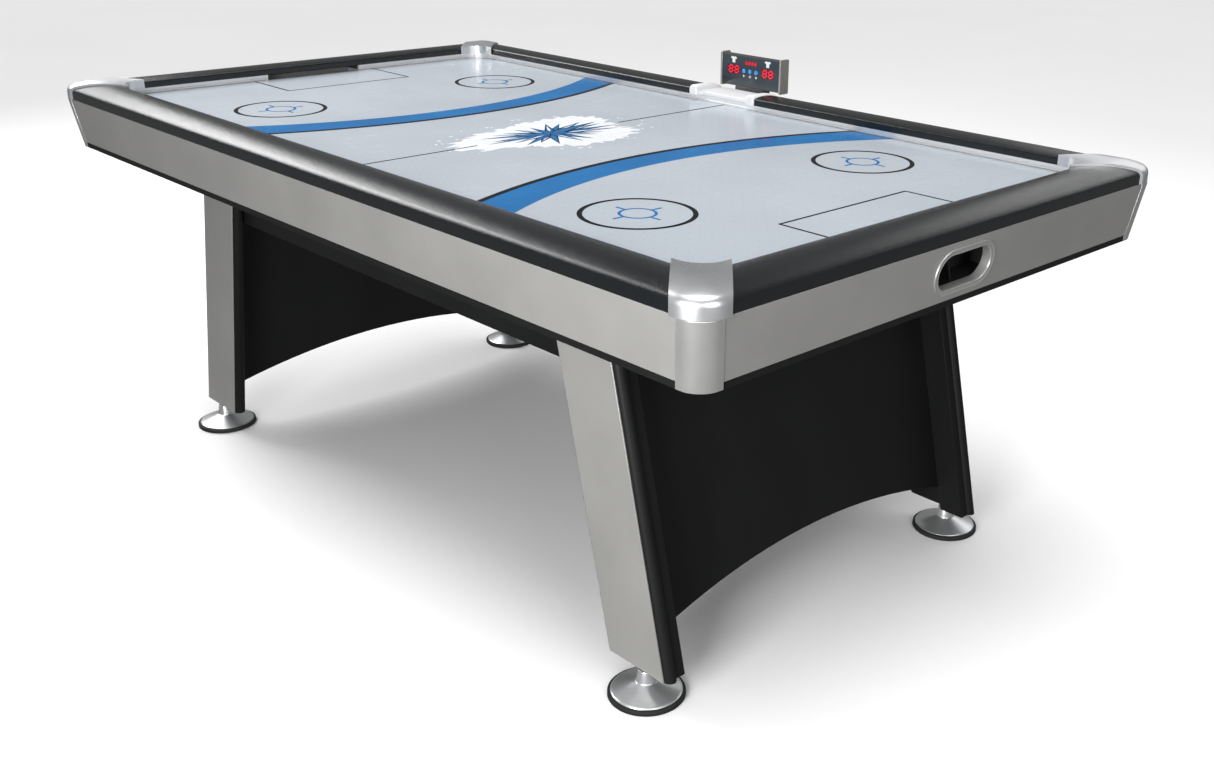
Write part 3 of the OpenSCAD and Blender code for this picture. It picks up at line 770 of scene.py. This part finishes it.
def cap_rib(end):
    """One round rib across the centre cap, its crest following the rail's rise."""
    full = rail_width + cap_proud
    middle = end * (centre_half - rib_radius)
    crest_fall = 0.0006
    steps = [0.0, 0.001, 0.0025, 0.005, 0.008, 0.012, 0.018, 0.026, 0.036, 0.048, 0.060, 0.075]
    rings = []
    for depth in steps:
        top = cap_height(depth) - crest_fall
        rings.append(rib_ring(middle, depth - cap_proud, rib_radius, top, 0.0004))
    top = cap_height(full) - crest_fall
    rings.append(rib_ring(middle, fence_back - 0.0004, rib_radius, top, 0.0004))
    rings.append(rib_ring(middle, fence_back, rib_radius, top, fence_seat))
    for i in range(1, 7):
        turn = math.radians(90 * i / 6)
        nose = 0.005
        depth = full - nose + nose * math.sin(turn)
        shrink = nose * (1 - math.cos(turn))
        rings.append(rib_ring(middle, depth, rib_radius - shrink * 0.8, top - shrink, fence_seat))
    return loft(rings)


def centre_cap():
    """The silver cap over the joint of the back rails: a flat saddle between two round ribs."""
    place = turned("back")
    outline = [(-0.0008, 0.0004), (-cap_proud, 0.0004), (-cap_proud, shoulder_z)]
    for x in cap_rows()[1:]:
        if cap_height(x) < saddle_height - 0.0012:
            outline.append((x - cap_proud, cap_height(x)))
    edge = outline[-1][0]
    outline += arc(edge + 0.0022, saddle_height - 0.0018, 0.0018, 150, 90, 4)
    inner = rail_width - notch_depth + fence_thick
    outline += arc(inner - 0.0012, saddle_height - 0.0012, 0.0012, 90, 0, 5)
    outline += [(inner, fence_seat), (fence_back, fence_seat), (fence_back, 0.0004)]
    reach = centre_half - 2 * rib_radius + 0.0005
    loops = [[place(a, d, h) for d, h in outline] for a in (-reach, reach)]
    shape = merged([loft(loops), cap_rib(-1), cap_rib(1)])
    # Its paler silver is a painted highlight, not a different finish.
    return new_piece("centre_rail_cap", shape, "cap_painted_highlight", "centre_cap", degrees=40)


# ---------- playing board ----------


class Print:
    """Flat inks laid over the playing board, collected into one mesh."""

    def __init__(self):
        self.verts = []
        self.faces = []
        self.inks = []

    def lay(self, points, height):
        """Adds points on the board, given in table coordinates; returns the first one's number."""
        start = len(self.verts)
        for x, y in points:
            self.verts.append((x, line_y + y, field_z + height))
        return start

    def polygon(self, points, height, ink):
        """A filled outline."""
        start = self.lay(points, height)
        self.faces.append(tuple(range(start, start + len(points))))
        self.inks.append(ink)

    def strip(self, left, right, height, ink):
        """A band between two equal runs of points."""
        start = self.lay(left + right, height)
        count = len(left)
        for i in range(start, start + count - 1):
            self.faces.append((i, i + 1, count + i + 1, count + i))
            self.inks.append(ink)

    def ring(self, centre, outer, width, height, ink, steps=96):
        """A printed circle."""
        outside, inside = [], []
        for i in range(steps + 1):
            angle = 2 * math.pi * i / steps
            for run, radius in ((outside, outer), (inside, outer - width)):
                x = centre[0] + radius * math.cos(angle)
                run.append((x, centre[1] + radius * math.sin(angle)))
        self.strip(outside, inside, height, ink)

    def line(self, start, end, width, height, ink):
        """A straight printed line."""
        a, b = Vector(start), Vector(end)
        across = Vector((a.y - b.y, b.x - a.x)).normalized() * width / 2
        self.polygon([a - across, b - across, b + across, a + across], height, ink)


FIELD_HALF_X = 0.986
FIELD_HALF_Y = 0.526
INK_BLACK, INK_BLUE, INK_WHITE = 1, 2, 3
LOW_INK = 0.00012
HIGH_INK = 0.00014
THIN_LINE = 0.0055


def crescent(prints, end):
    """A blue band between two arcs, with a black outline on the side of the centre line."""
    near, far, outline = [], [], []
    steps = 72
    for i in range(steps + 1):
        y = -FIELD_HALF_Y + 2 * FIELD_HALF_Y * i / steps
        inner = 1.478 - math.sqrt(1.19 ** 2 - y * y)
        outer = 1.306 - math.sqrt(0.95 ** 2 - y * y)
        near.append((end * inner, y))
        far.append((end * outer, y))
        outline.append((end * (inner - 0.0140), y))
    prints.strip(near, far, LOW_INK, INK_BLUE)
    prints.strip(outline, near, HIGH_INK, INK_BLACK)


def face_off(prints, x, y):
    """A face-off circle with a small ring and four ticks."""
    prints.ring((x, y), 0.102, 0.0092, LOW_INK, INK_BLACK)
    prints.ring((x, y), 0.034, THIN_LINE, LOW_INK, INK_BLUE, 48)
    for turn in (0, 90, 180, 270):
        way = (math.cos(math.radians(turn)), math.sin(math.radians(turn)))
        prints.line(
            (x + 0.031 * way[0], y + 0.031 * way[1]),
            (x + 0.055 * way[0], y + 0.055 * way[1]),
            THIN_LINE, HIGH_INK, INK_BLUE,
        )


def goal_box(prints, end):
    """The three thin lines before a goal."""
    line = 0.8085
    half = 0.1696
    lap = 0.002
    prints.line((end * line, -half - lap), (end * line, half + lap), THIN_LINE, LOW_INK, INK_BLACK)
    for side in (-1, 1):
        prints.line(
            (end * (line + lap), side * half), (end * FIELD_HALF_X, side * half),
            THIN_LINE, HIGH_INK, INK_BLACK,
        )


def splash(prints, rng):
    """A ragged pale splash of frost under the emblem."""
    points = []
    count = 120
    for i in range(count):
        turn = 2 * math.pi * i / count
        reach = 1.0 + 0.17 * math.sin(3 * turn + 0.4) + rng.uniform(-0.09, 0.12)
        points.append((0.125 * reach * math.cos(turn), 0.205 * reach * math.sin(turn)))
    prints.polygon(points, 0.00010, INK_WHITE)
    for speck in range(46):
        turn = rng.uniform(0, 2 * math.pi)
        far = rng.uniform(1.02, 1.25)
        x = 0.132 * far * math.cos(turn)
        y = 0.215 * far * math.sin(turn)
        size = rng.uniform(0.0015, 0.0055)
        prints.polygon(
            [
                (x + size * math.cos(a) * rng.uniform(0.6, 1.2), y + size * math.sin(a))
                for a in [k * math.pi / 3 for k in range(6)]
            ],
            0.00003 + 0.000001 * speck, INK_WHITE,
        )


def shard(prints, base, tip, width, height, ink):
    """A pointed sliver of ice."""
    run = Vector(tip) - Vector(base)
    across = Vector((-run.y, run.x)).normalized() * width
    hip = Vector(base) + run * 0.28
    prints.polygon([base, hip - across, tip, hip + across], height, ink)


def emblem(prints):
    """A burst of ice shards: a plain ornament in place of the table's printed mark."""
    rng = random.Random(7)
    splash(prints, rng)
    count = 22
    order = list(range(count))
    rng.shuffle(order)
    for step, i in enumerate(order):
        turn = 2 * math.pi * (i + rng.uniform(-0.25, 0.25)) / count
        reach = rng.uniform(0.72, 1.05)
        tip = (0.098 * reach * math.cos(turn), 0.165 * reach * math.sin(turn))
        base = (-0.012 * math.cos(turn), -0.016 * math.sin(turn))
        width = rng.uniform(0.010, 0.016)
        level = HIGH_INK + 0.000012 * step
        shard(prints, base, tip, width, level, INK_BLACK)
        inner_tip = (tip[0] * 0.93, tip[1] * 0.93)
        shard(prints, base, inner_tip, width * 0.66, level + 0.000004, INK_BLUE)
        if i % 2 == 0:
            pale_tip = (tip[0] * 0.80, tip[1] * 0.80)
            pale_base = (tip[0] * 0.2, tip[1] * 0.2)
            shard(prints, pale_base, pale_tip, width * 0.25, level + 0.000008, INK_WHITE)


def playing_board():
    """The board with its printed lines."""
    piece = refined("playfield", "playing_board", "field", 0.0)
    for ink in ("ink_black", "ink_blue", "ink_white"):
        piece.data.materials.append(mats[ink])
    prints = Print()
    for end in (-1, 1):
        crescent(prints, end)
        goal_box(prints, end)
        for side in (-1, 1):
            face_off(prints, end * 0.6058, side * 0.2988)
            prints.line((0, side * 0.19), (0, side * FIELD_HALF_Y), 0.0050, LOW_INK, INK_BLACK)
    emblem(prints)
    bm = bmesh.new()
    bm.from_mesh(piece.data)
    points = [bm.verts.new(v) for v in prints.verts]
    for face, ink in zip(prints.faces, prints.inks):
        made = bm.faces.new([points[i] for i in face])
        made.material_index = ink
        made.normal_update()
        if made.normal.z < 0:
            made.normal_flip()
    bm.to_mesh(piece.data)
    bm.free()
    return piece


# ---------- fences ----------


def fence_section():
    """The fence's outline: depth behind its playing face, and height, with a slim groove."""
    top = 0.0139
    return [
        (0.0, 0.0002), (0.0, 0.0045), (0.0006, 0.0052), (0.0006, 0.0062), (0.0, 0.0069),
        (0.0, top), (fence_thick, top), (fence_thick, 0.0002),
    ]


def fence(name, node, side, runs):
    """An extruded aluminium fence under a rail."""
    place = turned(side)
    parts = []
    depth_in = rail_width - notch_depth + fence_thick
    for start, end in runs:
        outline = fence_section()
        loops = [[place(along, depth_in - d, h) for d, h in outline] for along in (start, end)]
        parts.append(loft(loops))
    return new_piece(name, merged(parts), "fence", node, degrees=20)


def fence_corner(name, end, side):
    """The fence's curve under a corner cap, in two lengths that meet on the diagonal."""
    face = corner_centre - rail_width + notch_depth - fence_thick
    parts = []
    for start, stop in ((180.0, 224.9), (225.1, 270.0)):
        loops = []
        for i in range(17):
            turn = math.radians(start + (stop - start) * i / 16)
            loop = []
            for d, h in fence_section():
                x = corner_centre + (face + d) * math.cos(turn)
                y = corner_centre + (face + d) * math.sin(turn)
                loop.append((end * (half_x - x), line_y + side * (half_y - y), field_z + h))
            loops.append(loop)
        parts.append(loft(loops))
    return new_piece(name, merged(parts), "fence", "fence_corners", degrees=20)


def make_fences():
    """Fences along all four sides, open at the goals, and their curved corners."""
    stop = corner_centre + 0.0002
    for place, end, side in CORNERS:
        fence_corner(f"fence_corner_{place}", end, side)
    long_run = [(-half_x + stop, half_x - stop)]
    short = half_y - stop
    goal_runs = [(-short, -goal_half), (goal_half, short)]
    fence("side_fence_front", "fence_front", "front", long_run)
    fence("side_fence_back", "fence_back", "back", long_run)
    fence("goal_fence_left", "fence_left", "left", goal_runs)
    fence("goal_fence_right", "fence_right", "right", goal_runs)


# ---------- cabinet ----------


def slot_outline(width, height):
    """A slot with round ends, centred on the origin."""
    radius = height / 2
    reach = width / 2 - radius
    return arc(reach, 0, radius, -90, 90, 24) + arc(-reach, 0, radius, 90, 270, 24)


def return_bezel(name, node, end):
    """The rounded frame of a puck return, with a raised lip and a deep sleeve."""
    lean = math.atan2(apron_lean, apron_drop)
    opening_drop = 0.0515
    centre_z = field_z - opening_drop * math.cos(lean)
    centre_x = half_x - opening_drop * math.sin(lean)

    def place(across, up, out):
        x = centre_x + up * math.sin(lean) + out * math.cos(lean)
        z = centre_z + up * math.cos(lean) - out * math.sin(lean)
        return (end * x, line_y + across, z)

    steps = [
        (0.0778, -0.0155), (0.0778, 0.0002), (0.0800, 0.0002), (0.0800, 0.0014),
        (0.0790, 0.0024), (0.0772, 0.0026), (0.0755, 0.0020), (0.0640, 0.0012),
        (0.0618, 0.0018), (0.0604, 0.0008), (0.0600, -0.0008), (0.0600, -0.0155),
    ]
    loops = []
    for height, out in steps:
        loop = slot_outline(0.164 - (0.080 - height), height)
        loops.append([place(a, u, out) for a, u in loop])
    loops.append(loops[0])
    shape = loft(loops, closed_ends=False)
    return new_piece(name, shape, "bezel", node, degrees=50)


def make_cabinet():
    """Aprons, stretchers, the air chamber and the puck returns."""
    for place in ("front", "back", "left", "right"):
        refined(f"apron_{place}", f"apron_board_{place}", "silver_board", 0.0007)
    refined("side_stretchers", "side_stretcher_boards", "black_board", 0.0010)
    refined("chamber_walls", "chamber_side_walls", "black_board", 0.0010)
    refined("chamber_base", "base_board", "black_board", 0.0)
    for place, end in (("left", -1), ("right", 1)):
        return_bezel(f"puck_return_bezel_{place}", f"return_bezel_{place}", end)
    for place in ("left", "right"):
        refined(f"puck_tray_{place}", f"puck_return_tray_{place}", "tray", 0.0005)


# ---------- legs ----------


def make_legs():
    """Leg boards with round edges, facings, cleats and end panels."""
    for place, *_ in CORNERS:
        refined(f"leg_{place}", f"leg_board_{place}", "black_board", 0.0007, 40)
    refined("leg_facings", "leg_facing_boards", "silver_board", 0.0008)
    refined("leg_cleats", "leg_cleat_boards", "black_board", 0.0010)
    for place in ("left", "right"):
        refined(f"end_panel_{place}", f"end_arch_panel_{place}", "black_board", 0.0010)


# ---------- feet ----------


def foot(place, end, side):
    """A rubber pad with a satin metal cone and its screw."""
    centre = (end * foot_x, line_y + side * foot_y)
    pad = [
        (0.0, 0.0), (0.0655, 0.0), (0.0680, 0.0008), (0.0688, 0.0022), (0.0688, 0.0072),
        (0.0682, 0.0088), (0.0668, 0.0095), (0.0645, 0.0095), (0.0640, 0.0088),
        (0.0080, 0.0088), (0.0080, 0.0030), (0.0, 0.0030),
    ]
    new_piece(
        f"rubber_pad_{place}", lathe(pad, centre, 96), "rubber",
        f"pad_{place}", f"foot_pad_{place}",
    )
    cone = [
        (0.0, 0.0033), (0.00795, 0.0033), (0.00795, 0.0098), (0.0628, 0.0098),
        (0.0634, 0.0101), (0.0636, 0.0108), (0.0632, 0.0115), (0.0600, 0.0127),
        (0.0400, 0.0204), (0.0205, 0.0279), (0.0190, 0.0287), (0.0183, 0.0297),
        (0.0180, 0.0310), (0.0152, 0.0505), (0.0148, 0.0514), (0.0140, 0.0519),
        (0.0052, 0.0519), (0.0050, 0.0521),
    ]
    thread = []
    for i in range(21):
        z = 0.0526 + i * 0.0024
        thread += [(0.0050, z), (0.00455, z + 0.0012)]
    thread += [(0.0050, 0.1040), (0.0040, 0.1050), (0.0, 0.1050)]
    new_piece(
        f"leveler_cone_{place}", lathe(cone + thread, centre, 72), "foot_metal",
        f"leveler_{place}", f"foot_screw_{place}", 40,
    )


def make_feet():
    """All four levelers."""
    for place, end, side in CORNERS:
        foot(place, end, side)


# ---------- scoreboard ----------


def figure_strokes(width, height, stroke, lean=0.10):
    """The seven strokes of a leaning figure eight, about its lower left corner."""
    half = height / 2
    pad = stroke * 0.15
    s = stroke / 2

    def bar(x0, x1, y):
        return [
            (x0 + s + pad, y - s), (x1 - s - pad, y - s), (x1 - pad, y),
            (x1 - s - pad, y + s), (x0 + s + pad, y + s), (x0 + pad, y),
        ]

    def post(x, y0, y1):
        return [
            (x, y0 + pad), (x + s, y0 + s + pad), (x + s, y1 - s - pad),
            (x, y1 - pad), (x - s, y1 - s - pad), (x - s, y0 + s + pad),
        ]

    strokes = [bar(s, width - s, y) for y in (height - s, half, s)]
    for x in (width - s, s):
        strokes += [post(x, half, height - s), post(x, s, half)]
    return [[(x + y * lean, y) for x, y in outline] for outline in strokes]


def digits(name, count, left, bottom, width, height, pitch, stroke):
    """Glowing digits standing just proud of a display block."""
    front = line_y + score_front + 0.00035
    back = front + 0.0006
    parts = []
    for place in range(count):
        for outline in figure_strokes(width, height, stroke):
            points = [(left + place * pitch + x, bottom + y) for x, y in outline]
            parts.append(plate(points, front, back))
    return new_piece(name, merged(parts), "digit", degrees=20)


def plate(points, front, back):
    """A flat shape standing in the X-Z plane, as (verts, faces)."""
    return loft([[(x, front, z) for x, z in points], [(x, back, z) for x, z in points]])


def shirt(x, z, size):
    """Outline of a small jersey icon."""
    half = [(0.16, 0.44), (0.36, 0.50), (0.66, 0.30), (0.56, 0.10), (0.34, 0.18), (0.30, -0.50)]
    right = [(x + a * size, z + b * size) for a, b in half]
    left = [(x - a * size, z + b * size) for a, b in reversed(half)]
    return right + left


def flat_ring(x, z, radius, line, front, back, steps=32):
    """A ring standing in the X-Z plane, as a list of small plates."""
    parts = []
    for i in range(steps):
        corners = []
        for turn, inset in ((i, 0.0), (i + 1, 0.0), (i + 1, line), (i, line)):
            angle = 2 * math.pi * turn / steps
            reach = radius - inset
            corners.append((x + reach * math.cos(angle), z + reach * math.sin(angle)))
        parts.append(plate(corners, front, back))
    return parts


def score_icons():
    """Plain marks: two jerseys, and a triangle, a ring and a diamond under the buttons."""
    front = line_y + score_front - 0.00012
    back = front + 0.0003
    parts = []
    for x in (-0.0550, 0.0570):
        parts.append(plate(shirt(x, score_bottom + 0.0620, 0.0150), front, back))
    z = score_bottom + 0.0262
    triangle = [(-0.0228, z - 0.0032), (-0.0228, z + 0.0032), (-0.0170, z)]
    parts.append(plate(triangle, front, back))
    diamond = [(0.0166, z), (0.0200, z + 0.0034), (0.0234, z), (0.0200, z - 0.0034)]
    parts.append(plate(diamond, front, back))
    parts += flat_ring(0.0, z, 0.0032, 0.0013, front, back)
    return merged(parts)


def push_button(name, node, body, x):
    """A domed button with a flange behind the face."""
    r = 0.0052
    profile = [
        (0.0, -0.0035), (0.27 * r, -0.00345), (0.54 * r, -0.0032), (0.77 * r, -0.0027),
        (0.90 * r, -0.0020), (0.98 * r, -0.0013), (r, -0.0005), (r, 0.0024),
        (r + 0.0011, 0.0024), (r + 0.0011, 0.0035), (r, 0.0035), (r, 0.0062), (0.0, 0.0062),
    ]
    verts, faces = lathe(profile, (0, 0), 40)
    centre = (x, line_y + score_front, score_bottom + 0.038)
    verts = [(centre[0] + a, centre[1] + c, centre[2] - b) for a, b, c in verts]
    return new_piece(name, (verts, faces), "button", node, body, 40)


def make_scoreboard():
    """Housing, face, side caps, digits, marks and buttons."""
    refined("score_housing", "scoreboard_housing", "housing", 0.0008)
    refined("score_face", "scoreboard_face", "score_face", 0.0003)
    refined("score_side_caps", "scoreboard_side_caps", "side_cap", 0.0006)
    low = score_bottom + 0.0290
    digits("home_score_digits", 2, -0.0740, low, 0.0165, 0.0200, 0.0195, 0.0042)
    digits("guest_score_digits", 2, 0.0380, low, 0.0165, 0.0200, 0.0195, 0.0042)
    low = score_bottom + 0.0528
    digits("game_clock_digits", 4, -0.0172, low, 0.0078, 0.0090, 0.0097, 0.0021)
    new_piece("scoreboard_marks", score_icons(), "icon", degrees=20)
    for word, x in (("start", -0.020), ("power", 0.0), ("mode", 0.020)):
        push_button(f"{word}_push_button", f"button_{word}", f"push_{word}", x)


def paint_inner_parts():
    """Materials of the CAD nodes that are shown as they are."""
    for node, look in (
        ("score_displays", "display"), ("score_board", "board_green"),
        ("goal_sensors", "board_green"), ("blower_housing", "tray"), ("blower_motor", "motor"),
        ("impeller", "tray"), ("power_inlet", "tray"), ("wiring", "cable"),
        ("leg_bolts", "steel"), ("leg_inserts", "steel"),
    ):
        paint_node(node, look)


# ---------- stage ----------


def make_floor():
    """A large pale floor."""
    mesh = bpy.data.meshes.new("floor")
    size = 30.0
    corners = [(-size, -size, 0), (size, -size, 0), (size, size, 0), (-size, size, 0)]
    mesh.from_pydata(corners, [], [(0, 1, 2, 3)])
    floor = bpy.data.objects.new("floor", mesh)
    mesh.materials.append(mats["floor"])
    bpy.context.scene.collection.objects.link(floor)
    floor.visible_diffuse = False
    floor.visible_glossy = False


def area_light(name, place, target, size, power):
    """A soft square light aimed at a point."""
    data = bpy.data.lights.new(name, "AREA")
    data.shape = "RECTANGLE"
    data.size = size[0]
    data.size_y = size[1]
    data.energy = power
    light = bpy.data.objects.new(name, data)
    light.location = place
    aim = Vector(target) - Vector(place)
    light.rotation_euler = aim.to_track_quat("-Z", "Y").to_euler()
    light.visible_camera = False
    bpy.context.scene.collection.objects.link(light)


def make_lights():
    """A soft sky, a large softbox on the left, a key near the camera and two weak fills."""
    scene = bpy.context.scene
    scene.view_settings.view_transform = "Standard"
    scene.view_settings.look = "None"
    world = bpy.data.worlds.new("studio")
    world.use_nodes = True
    fill(world.node_tree.nodes["Background"], {"Color": (1.0, 1.0, 1.0, 1.0), "Strength": 0.20})
    scene.world = world
    sky = bpy.data.lights.new("overhead", "SUN")
    sky.energy = 2.2
    sky.angle = math.radians(50)
    overhead = bpy.data.objects.new("overhead", sky)
    scene.collection.objects.link(overhead)
    area_light("left_softbox", (-3.6, -0.6, 3.1), (0.0, -0.3, 0.8), (2.6, 2.4), 120)
    area_light("key_softbox", (1.5, -2.6, 1.1), (1.0, -0.5, 0.6), (1.2, 1.2), 84)
    area_light("right_fill", (3.2, -1.0, 1.4), (1.0, -0.2, 0.6), (1.5, 1.5), 22)
    area_light("back_fill", (0.5, 3.8, 2.4), (0.0, 0.0, 0.8), (3.5, 1.5), 18)


def make_camera():
    """The camera at the photograph's viewing place."""
    place = Vector((2.1787, line_y - 1.7169, 1.3635))
    yaw = math.radians(134.570)
    pitch = math.radians(22.208)
    roll = 0.02
    ahead = Vector((
        math.cos(yaw) * math.cos(pitch), math.sin(yaw) * math.cos(pitch), -math.sin(pitch)
    ))
    right = Vector((math.sin(yaw), -math.cos(yaw), 0.0))
    up = right.cross(ahead)
    turned_right = right * math.cos(roll) + up * math.sin(roll)
    turned_up = up * math.cos(roll) - right * math.sin(roll)
    data = bpy.data.cameras.new("camera")
    data.sensor_width = 36.0
    data.lens = 38.49
    data.shift_x = -0.0843
    data.clip_start = 0.05
    data.clip_end = 100.0
    camera = bpy.data.objects.new("camera", data)
    turn = Matrix((turned_right, turned_up, -ahead)).transposed()
    camera.matrix_world = Matrix.Translation(place) @ turn.to_4x4()
    bpy.context.scene.collection.objects.link(camera)
    bpy.context.scene.camera = camera


make_rails()
make_corners()
centre_cap()
playing_board()
make_fences()
make_cabinet()
make_legs()
make_feet()
make_scoreboard()
paint_inner_parts()
make_floor()
make_lights()
make_camera()
